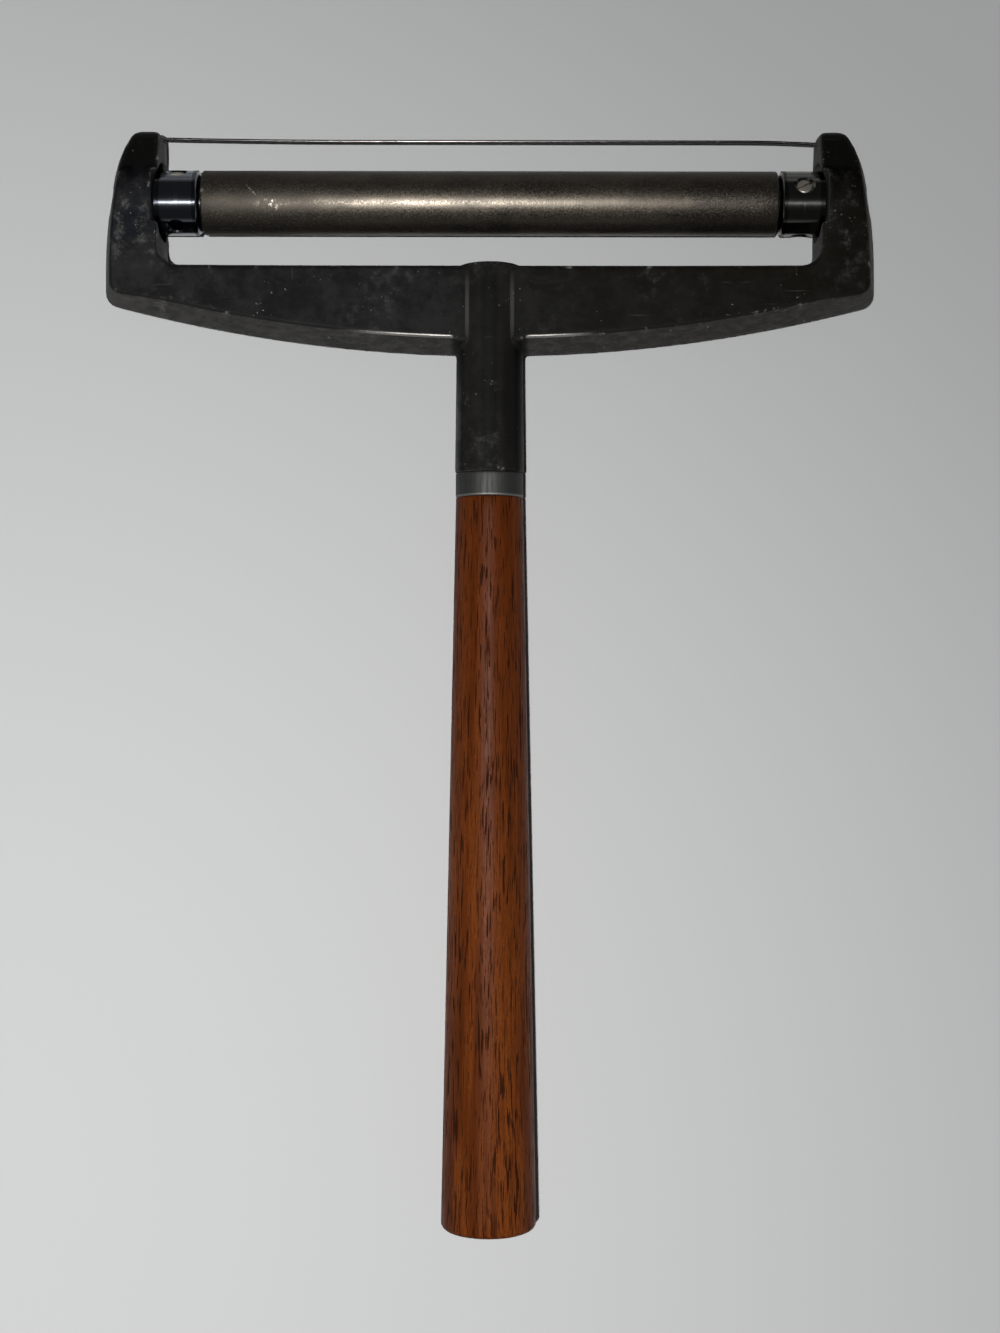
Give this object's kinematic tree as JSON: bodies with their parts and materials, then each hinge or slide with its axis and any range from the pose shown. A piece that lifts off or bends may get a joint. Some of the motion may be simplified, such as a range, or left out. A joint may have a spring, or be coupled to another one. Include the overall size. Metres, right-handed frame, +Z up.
{
  "type": "roller cheese slicer",
  "caption": "Hand cheese slicer: a taut wire and a free-turning roller in a cast bow, on a tapered wooden handle.",
  "frame": {"origin": "under the middle of the slicer's length, on the surface that carries the handle's end", "axes": "+X along the roller, +Y from the handle's end to the cutting wire, +Z up from the surface it lies on"},
  "size_m": [0.1536, 0.218, 0.0191],
  "materials": {
    "cast_frame": "dark oxidised casting, worn along its edges",
    "axle_steel": "bright drawn rod",
    "roller_metal": "dull turned tube, slightly tarnished",
    "bush_nylon": "turned dark nylon",
    "nut_chrome": "polished plating",
    "screw_steel": "plain steel",
    "wire_steel": "drawn spring wire",
    "nipple_brass": "crimped",
    "ferrule_metal": "turned, dull",
    "handle_wood": "oiled red-brown teak, satin",
    "tang_steel": "plain steel"
  },
  "bodies": {
    "frame": {"bow_frame": "cast_frame", "axle": "axle_steel", "cutting_wire": "wire_steel", "left_wire_nipple": "nipple_brass", "right_wire_nipple": "nipple_brass", "ferrule": "ferrule_metal", "handle": "handle_wood", "handle_tang": "tang_steel"},
    "roller": {"roller_tube": "roller_metal", "left_roller_bush": "bush_nylon", "right_roller_bush": "bush_nylon"},
    "left_nut": {"left_tension_nut": "nut_chrome"},
    "right_nut": {"right_tension_nut": "nut_chrome"},
    "left_screw": {"left_lock_screw": "screw_steel"},
    "right_screw": {"right_lock_screw": "screw_steel"}
  },
  "joints": [
    {"name": "roller_spin", "type": "hinge", "parent": "frame", "child": "roller", "pos_m": [0, 0.09555, 0.00955], "axis": [1, 0, 0], "continuous": true},
    {"name": "left_nut_turn", "type": "hinge", "parent": "frame", "child": "left_nut", "pos_m": [-0.0621, 0.09555, 0.00955], "axis": [-1, 0, 0], "range_deg": [-120, 0]},
    {"name": "right_nut_turn", "type": "hinge", "parent": "frame", "child": "right_nut", "pos_m": [0.0621, 0.09555, 0.00955], "axis": [1, 0, 0], "range_deg": [-120, 0]},
    {"name": "left_screw_turn", "type": "hinge", "parent": "left_nut", "child": "left_screw", "pos_m": [-0.0621, 0.09555, 0.00955], "axis": [0, 0.866, 0.5], "range_deg": [0, 270]},
    {"name": "right_screw_turn", "type": "hinge", "parent": "right_nut", "child": "right_screw", "pos_m": [0.0621, 0.09555, 0.00955], "axis": [0, 0.3907, 0.9205], "range_deg": [0, 270]}
  ]
}
